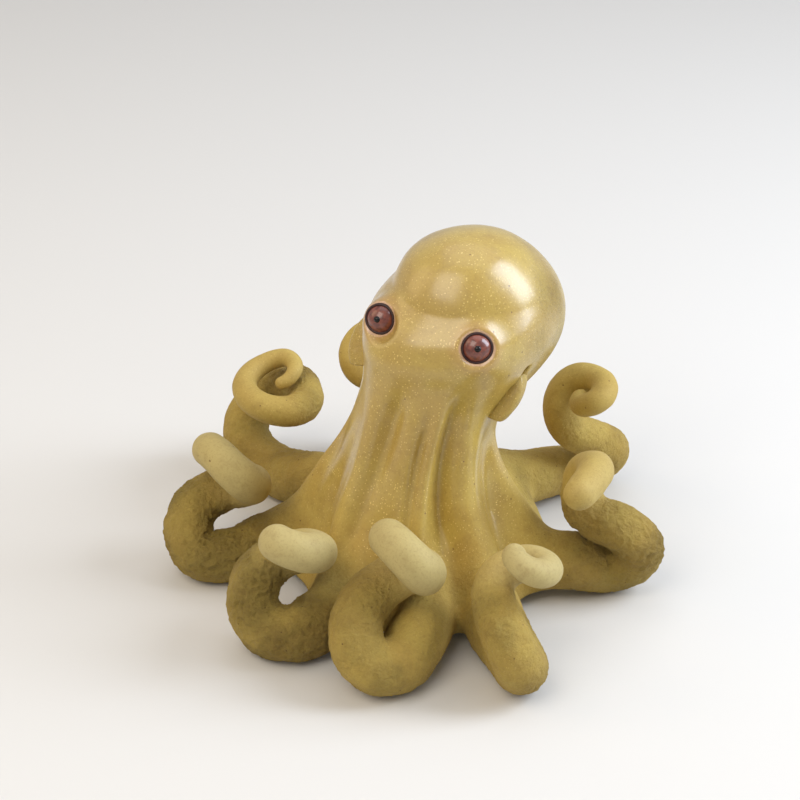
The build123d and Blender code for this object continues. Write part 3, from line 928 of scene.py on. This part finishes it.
class OctopusStage(bpy.types.PropertyGroup):
    """Floor, lamps and world."""

    floor_colour: bpy.props.StringProperty(
        name="Floor", description="sRGB hex colour of the floor", default="D9D7D3")
    key_power: bpy.props.FloatProperty(
        name="Key lamp", description="Power of the large soft lamp", default=3.4, min=0.0,
        unit="POWER")
    front_power: bpy.props.FloatProperty(
        name="Front lamp", description="Power of the high lamp in front", default=1.6, min=0.0,
        unit="POWER")
    fill_power: bpy.props.FloatProperty(
        name="Fill lamp", description="Power of the lamp on the other side", default=0.6,
        min=0.0, unit="POWER")
    world_strength: bpy.props.FloatProperty(
        name="World", description="Strength of the even light around", default=0.46, min=0.0)


class OCTOPUS_OT_body(bpy.types.Operator):
    """Head, bell and mantle, as one blended skin parted at the seam"""

    bl_idname = "octopus.body"
    bl_label = "Head, bell and mantle"

    def execute(self, context):
        clay = context.scene.octopus_clay
        material = material_named("burnished_stoneware", stoneware_material, clay)
        step = clay.net_step / MM * 1
        places, quads = net_of_field(BODY_LOW, BODY_HIGH, step)
        places = settled(places, quads, 4)
        for name, node, keep_tail in (("head_and_bell", "head_skirt", False),
                                      ("mantle_bulb", "mantle", True)):
            data = cut_body(name, places, quads, keep_tail)
            own = numbers(data.vertices, "co", 3)
            data.polygons.foreach_set("use_smooth", np.ones(len(data.polygons), bool))
            data.normals_split_custom_set(skin_corners(data, own).tolist())
            data.vertices.foreach_set("co", ((own + SHIFT) * MM).ravel())
            data.materials.append(material)
            piece = linked_piece(name, data)
            rough, polish = skin_masks(own)
            paint(piece, "rough", rough)
            paint(piece, "polish", polish)
            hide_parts(node)
        return {"FINISHED"}


def torn(points, size, salt):
    """Torn clay, from about -1 to 1: 0.5 and 0.3 times the crests 1 - 2 |noise| of a coarse and
    a fine noise, plus 0.4 times the lumps of a broad one."""
    crests = 0.5 * (1 - 2 * np.abs(drift(points, size, salt)))
    crests = crests + 0.3 * (1 - 2 * np.abs(drift(points, size * 0.55, salt + 1)))
    return crests + 0.4 * drift(points, size * 2.2, salt + 2) - 0.1


def arm_tube(arm):
    """Centreline, directions ahead and left, radii and length shares of an arm, and the gap
    between its rings. The tip is half a blunt ellipse turned about the centreline."""
    spacing = ARM_RING_GAP * 1
    places, aheads, lefts, shares = arm_line(arm, spacing)
    radii = arm_radius(arm, shares)
    gap = ARM_LENGTH * arm.length / (len(places) - 1)
    turn = np.radians(np.linspace(0, 90, TIP_RINGS + 2)[1:-1])
    tip_out = radii[-1] * TIP_LENGTH_SHARE * np.sin(turn)
    places = np.concatenate((places, places[-1] + np.outer(tip_out, aheads[-1])))
    radii = np.concatenate((radii, radii[-1] * np.cos(turn) ** TIP_FULLNESS))
    lefts = np.concatenate((lefts, np.repeat(lefts[-1:], TIP_RINGS, 0)))
    aheads = np.concatenate((aheads, np.repeat(aheads[-1:], TIP_RINGS, 0)))
    shares = np.concatenate((shares, np.ones(TIP_RINGS)))
    return places, aheads, lefts, radii, shares, gap


def arm_rings(name, arm, clay, across):
    """Rings of an arm's skin, their outward normals, and its masks.

    A ring's point lies along left cos + over sin at the tube's radius r. Near the joint the
    distance f to the body's skin is found along the same line, and the point lies at
    r + (f - r) w, where w falls to 0 along the arm and where f - r grows past a fillet's size.
    The belly is rubbed flat on the table.
    """
    places, aheads, lefts, radii, shares, gap = arm_tube(arm)
    run = np.arange(len(places)) * gap
    overs = np.cross(aheads, lefts)
    angle = np.linspace(0, 2 * np.pi, across, endpoint=False)
    out = lefts[:, None] * np.cos(angle)[:, None] + overs[:, None] * np.sin(angle)[:, None]
    radius = np.repeat(radii[:, None], across, 1)
    rows = int(JOINT_LENGTH / gap)
    near_out, near_place = out[:rows].reshape(-1, 3), np.repeat(places[:rows], across, 0)
    found = radius[:rows].ravel().copy()
    root_run = places[1:int(JOINT_RUN / gap):3]
    for _ in range(JOINT_ROUNDS):
        left = body_field(near_place + near_out * found[:, None], name, root_run)
        found = np.clip(found - left * 0.9, 0.5 * ARM_ROOT_RADIUS, 2.2 * ARM_ROOT_RADIUS)
    extra = found.reshape(rows, across) - radius[:rows]
    held = (1 - ease(run[:rows], *JOINT_FADE))[:, None] * (1 - ease(extra, *JOINT_FILLET))
    radius[:rows] += extra * held
    skin = places[:, None] + out * radius[..., None]
    points = skin.reshape(-1, 3)
    # Torn on the bends and smooth from the middle on; at the joint it is the lobe's own clay.
    patchy = ease(drift(points, TORN_PATCH, 21), -0.5, 0.5).reshape(radius.shape)
    rough = arm.torn * (0.45 + 0.55 * patchy)
    rough = rough * (1 - ease(shares, *TORN_END))[:, None]
    at_root, polish = (mask.reshape(radius.shape) for mask in skin_masks(points))
    leave = ease(run, *ARM_LEAVE)[:, None]
    rough = at_root * (1 - leave) + rough * leave
    polish = polish * (1 - leave) + ARM_POLISH * leave
    pale = np.repeat((arm.pale * ease(shares, *PALE_START))[:, None], across, 1)
    relief = torn(points, clay.grain_size / MM, 31).reshape(radius.shape)
    relief = relief * rough * clay.grain_height / MM
    for size, height, salt in SKIN_WAVES:
        relief = relief + height * drift(points, size, salt).reshape(radius.shape)
    skin = skin + out * (relief * leave)[..., None]
    skin[..., 2] = np.maximum(skin[..., 2], 0.0)
    along = np.gradient(skin, axis=0)
    around = np.roll(skin, -1, 1) - np.roll(skin, 1, 1)
    normals = np.cross(around, along)
    normals = normals / np.maximum(np.linalg.norm(normals, axis=-1), 1e-9)[..., None]
    slope = field_slope(skin[:rows].reshape(-1, 3), name, root_run).reshape(rows, across, 3)
    slope = slope / np.linalg.norm(slope, axis=-1)[..., None]
    share = ease(run[:rows], 0.5, 4.0)[:, None, None]
    normals[:rows] = slope * (1 - share) + normals[:rows] * share
    return skin, normals, {"rough": rough, "polish": polish, "pale": pale}


class OCTOPUS_OT_arms(bpy.types.Operator):
    """Eight arms: round skins carried along their bends, torn on the bends, pale at the tips"""

    bl_idname = "octopus.arms"
    bl_label = "Arms"

    def execute(self, context):
        clay = context.scene.octopus_clay
        material = material_named("burnished_stoneware", stoneware_material, clay)
        across = ARM_ACROSS
        for name, arm in ARMS.items():
            skin, normals, masks = arm_rings(name, arm, clay, across)
            piece = new_piece(name + "_skin", *carried(skin))
            # The fan at the joint is flat, and the one at the tip ends the dome.
            ends = [-arm_start(arm)[1], skin[-1].mean(0) - skin[-3].mean(0)]
            ends = [end / np.linalg.norm(end) for end in ends]
            normals = np.concatenate((normals.reshape(-1, 3), ends))
            normals = normals[numbers(piece.data.loops, "vertex_index", kind=np.int32)]
            sides = (len(skin) - 1) * across * 4
            normals[sides:sides + across * 3] = ends[0]
            piece.data.normals_split_custom_set(normals.tolist())
            for key, mask in masks.items():
                paint(piece, key, np.append(mask, (mask[0, 0], mask[-1, 0])))
            piece.data.materials.append(material)
            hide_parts(name)
        return {"FINISHED"}


def skin_point(start, ray):
    """Where a ray from inside the head leaves the clay: the last sign change of the field."""
    reach = np.arange(4.0, 26.0, 0.05)
    inside = body_field(start + np.outer(reach, ray)) < 0
    return start + ray * reach[np.nonzero(inside)[0][-1]]


def flap_rings(side):
    """Rings of a gill flap: a rounded oblong, |a|^n + |b|^n = 1, down a bowed line.

    The line stands out from the skin by a straight run from seat to seat, plus its stand and a
    bow of 4 t (1 - t), and above the flap's top it sinks into the cheek.
    """
    shares = np.linspace(FLAP_ROOT_SHARE, 1, FLAP_RINGS)
    heights = FLAP_TOP + (FLAP_BOTTOM - FLAP_TOP) * shares - side * FLAP_TILT
    rays = compass(side * (FLAP_BEARING - FLAP_TURN * shares))
    centre_x, centre_y = column_row(heights)[:2]
    axis_points = np.stack((centre_x, centre_y, heights), -1)
    seats = np.array([skin_point(point, ray) for point, ray in zip(axis_points, rays)])
    first = np.searchsorted(shares, 0.0)
    down = np.clip(shares, 0, 1)
    straight = seats[first] + np.outer(down, seats[-1] - seats[first])
    stand = (FLAP_TOP_STAND * (1 - down) + FLAP_BOTTOM_STAND * down
             + 4 * FLAP_BOW * down * (1 - down))
    proud = np.where(shares < 0, 0, ((straight - seats) * rays).sum(-1)) + stand
    proud = (proud + FLAP_ROOT_DEPTH) * ease(shares, FLAP_ROOT_SHARE, 0.2) - FLAP_ROOT_DEPTH
    turn = np.linspace(0, 2 * np.pi, FLAP_ACROSS, endpoint=False)
    a, b = (np.sign(wave) * np.abs(wave) ** FLAP_SQUARENESS
            for wave in (np.cos(turn), np.sin(turn)))
    sideways = np.cross((0.0, 0.0, 1.0), rays)
    half_depth = np.maximum((proud + FLAP_DEPTH) / 2, FLAP_LEAST_HALF_DEPTH)
    middles = seats + rays * ((proud - FLAP_DEPTH) / 2)[:, None]
    width = FLAP_HALF_WIDTH * (0.6 + 0.4 * ease(shares, FLAP_ROOT_SHARE, 0.4))
    rings = (middles[:, None] + rays[:, None] * (half_depth[:, None] * a)[..., None]
             + sideways[:, None] * (width[:, None] * b)[..., None])
    end = rings[-1].mean(0)
    foot = [end + (rings[-1] - end) * share - np.array((0, 0, drop)) for share, drop in FLAP_FOOT]
    rings = np.concatenate((rings, foot))
    size, height, salt = FLAP_WAVE
    waves = height * drift(rings.reshape(-1, 3), size, salt)
    return rings + waves.reshape(rings.shape[:2])[..., None]


class OCTOPUS_OT_flaps(bpy.types.Operator):
    """Gill flaps: bowed strips from the cheeks down to the neck"""

    bl_idname = "octopus.flaps"
    bl_label = "Gill flaps"

    def execute(self, context):
        clay = context.scene.octopus_clay
        material = material_named("burnished_stoneware", stoneware_material, clay)
        for name, side in (("left", 1), ("right", -1)):
            places, faces = carried(flap_rings(side))
            piece = new_piece("gill_flap_skin_" + name, places, faces)
            face_outwards(piece.data)
            paint(piece, "rough", np.full(len(places), FLAP_TORN))
            paint(piece, "polish", np.full(len(places), FLAP_POLISH))
            piece.data.materials.append(material)
            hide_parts("gill_flap_" + name)
        return {"FINISHED"}


def turned_rings(seat, direction, profile, across, wobble, salt):
    """A profile of (radius, height) pairs turned about an eye's axis, a little out of round:
    its radius times 1 + wobble (sin(2w + salt) + 0.6 sin(3w + 2.1 salt))."""
    turn = np.linspace(0, 2 * np.pi, across, endpoint=False)
    side = np.cross((0.0, 0.0, 1.0), direction)
    side = side / np.linalg.norm(side)
    up = np.cross(direction, side)
    around = side * np.cos(turn)[:, None] + up * np.sin(turn)[:, None]
    uneven = 1 + wobble * (np.sin(2 * turn + salt) + 0.6 * np.sin(3 * turn + 2.1 * salt))
    radius, height = np.array(profile, float).T
    return (seat + direction * height[:, None, None]
            + around[None] * (radius[:, None] * uneven)[..., None])


def dome(radius, crown, below, count):
    """Profile of a plug: from its foot up its side, then a circle's arc over to the middle."""
    ball = (radius ** 2 + crown ** 2) / (2 * crown)
    widest = math.asin(min(radius / ball, 1))
    angles = np.linspace(widest, 0.02, count)
    arc = np.stack((ball * np.sin(angles), ball * np.cos(angles) - ball + crown), -1)
    return np.concatenate(([(radius * 0.9, -below), (radius, -below * 0.8)], arc))


class OCTOPUS_OT_eyes(bpy.types.Operator):
    """Eyes: turned balls, dark rings and glazed pupils, in the sockets of the head"""

    bl_idname = "octopus.eyes"
    bl_label = "Eyes"

    def execute(self, context):
        eyes = context.scene.octopus_eyes
        waxed = material_named("waxed_red_clay", eye_material, eyes)
        glaze = material_named("black_glaze", pupil_material, eyes)
        slip = material_named("dark_eye_ring", ring_material, eyes)
        ball = dome(EYE_BALL_RADIUS, EYE_BALL_CROWN, EYE_BALL_DEPTH, 26)
        pupil = dome(PUPIL_RADIUS, PUPIL_CROWN, PUPIL_DEPTH, 16)
        pupil = pupil + np.array((0, EYE_BALL_CROWN - PUPIL_SINK))
        turn = np.linspace(0, 2 * np.pi, 20, endpoint=False)
        ring = np.stack((EYE_RING_RADIUS + EYE_RING_HALF_WIDTH * np.cos(turn),
                         EYE_RING_HALF_HEIGHT * np.sin(turn) - EYE_RING_DEPTH), -1)
        for salt, (name, (seat, direction)) in enumerate(EYE_SEATS.items(), 1):
            for label, node, slot, material, profile, across, wobble in (
                    ("eye_ball_skin_", "eye_ball_", "eye", waxed, ball, 64, 0.012),
                    ("pupil_skin_", "pupil_", "pupil", glaze, pupil, 40, 0.02),
                    ("eye_ring_skin_", "eye_rim_", "eye_rim", slip, ring, 72, 0.015)):
                rings = turned_rings(seat, direction, profile, across, wobble, salt)
                piece = new_piece(label + name, *carried(rings, looped=profile is ring))
                face_outwards(piece.data)
                piece.data.materials.append(material)
                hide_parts(node + name)
        return {"FINISHED"}


def aimed(name, data, place, target):
    """A lamp or camera at a place, looking at a target, both in metres."""
    thing = bpy.data.objects.new(name, data)
    bpy.context.scene.collection.objects.link(thing)
    away = np.array(place) - np.array(target)
    away = away / np.linalg.norm(away)
    right = np.cross((0.0, 0.0, 1.0), away)
    right = right / np.linalg.norm(right)
    up = np.cross(away, right)
    turn = Matrix(np.stack((right, up, away), -1).tolist()).to_4x4()
    thing.matrix_world = Matrix.Translation(place.tolist()) @ turn
    return thing


def add_floor(stage):
    """A wide pale table top at height zero."""
    half = FLOOR_HALF_WIDTH
    mesh = bpy.data.meshes.new("floor")
    corners = [(-half, -half, 0), (half, -half, 0), (half, half, 0), (-half, half, 0)]
    mesh.from_pydata(corners, [], [(0, 1, 2, 3)])
    floor = bpy.data.objects.new("floor", mesh)
    bpy.context.scene.collection.objects.link(floor)
    material, node = new_material("pale_floor")
    shader = node("BsdfPrincipled", {"Base Color": linear(stage.floor_colour), "Roughness": 0.9})
    node("OutputMaterial", {"Surface": shader})
    mesh.materials.append(material)


def even_world(stage):
    """Even light from all around, seen at a plain strength by the camera and in reflections."""
    world = bpy.data.worlds.new("even_light")
    world.use_nodes = True
    world.node_tree.nodes.clear()
    node = functools.partial(add_node, world.node_tree)
    seen = 0.0
    for ray in ("Is Camera Ray", "Is Glossy Ray", "Is Transmission Ray"):
        seen = node("Math", {0: seen, 1: node("LightPath", output=ray)}, operation="MAXIMUM")
    strength = node("MapRange", {0: seen, 3: stage.world_strength, 4: SEEN_STRENGTH})
    back = node("Background", {"Color": linear(WORLD_COLOUR), "Strength": strength})
    node("OutputWorld", {"Surface": back})
    return world


class OCTOPUS_OT_stage(bpy.types.Operator):
    """Pale floor, soft lamps, even world and the camera"""

    bl_idname = "octopus.stage"
    bl_label = "Stage"

    def execute(self, context):
        scene = context.scene
        stage = scene.octopus_stage
        add_floor(stage)
        for name, (bearing, slope, distance, wide, high, power, share, tint) in LAMPS.items():
            lamp = bpy.data.lights.new(name, "AREA")
            lamp.shape = "RECTANGLE"
            lamp.size, lamp.size_y = wide, high
            lamp.energy = getattr(stage, power) * share
            lamp.color = linear(tint)[:3]
            aimed(name, lamp, LAMP_TARGET + compass(bearing, slope) * distance, LAMP_TARGET)
        scene.world = even_world(stage)
        lens = bpy.data.cameras.new("camera")
        lens.sensor_width = SENSOR_WIDTH
        lens.lens = LENS_SHARE * SENSOR_WIDTH
        lens.clip_start = 0.01
        lens.dof.use_dof = False
        target = (CAMERA_TARGET + SHIFT) * MM
        away = compass(CAMERA_BEARING, CAMERA_ELEVATION)
        scene.camera = aimed("camera", lens, target + away * CAMERA_DISTANCE * MM, target)
        scene.view_settings.view_transform = "Standard"
        return {"FINISHED"}


class OCTOPUS_PT_panel(bpy.types.Panel):
    """Sidebar panel with the settings and one button for each step"""

    bl_idname = "OCTOPUS_PT_panel"
    bl_label = "Clay octopus"
    bl_space_type = "VIEW_3D"
    bl_region_type = "UI"
    bl_category = "Octopus"

    def draw(self, context):
        scene = context.scene
        for group in (scene.octopus_clay, scene.octopus_eyes, scene.octopus_stage):
            for key in group.__annotations__:
                self.layout.prop(group, key)
        for operator in OPERATORS:
            self.layout.operator(operator.bl_idname)


GROUPS = {"octopus_clay": OctopusClay, "octopus_eyes": OctopusEyes, "octopus_stage": OctopusStage}
OPERATORS = (OCTOPUS_OT_body, OCTOPUS_OT_arms, OCTOPUS_OT_flaps, OCTOPUS_OT_eyes, OCTOPUS_OT_stage)


def register():
    """Registers the classes and the settings."""
    for name, group in GROUPS.items():
        bpy.utils.register_class(group)
        setattr(bpy.types.Scene, name, bpy.props.PointerProperty(type=group))
    for item in (*OPERATORS, OCTOPUS_PT_panel):
        bpy.utils.register_class(item)


def unregister():
    """Removes the classes and the settings."""
    for item in (OCTOPUS_PT_panel, *reversed(OPERATORS)):
        bpy.utils.unregister_class(item)
    for name, group in GROUPS.items():
        delattr(bpy.types.Scene, name)
        bpy.utils.unregister_class(group)


def main():
    """Builds every piece in order."""
    register()
    bpy.ops.octopus.body()
    bpy.ops.octopus.arms()
    bpy.ops.octopus.flaps()
    bpy.ops.octopus.eyes()
    bpy.ops.octopus.stage()


if __name__ == "__main__":
    main()
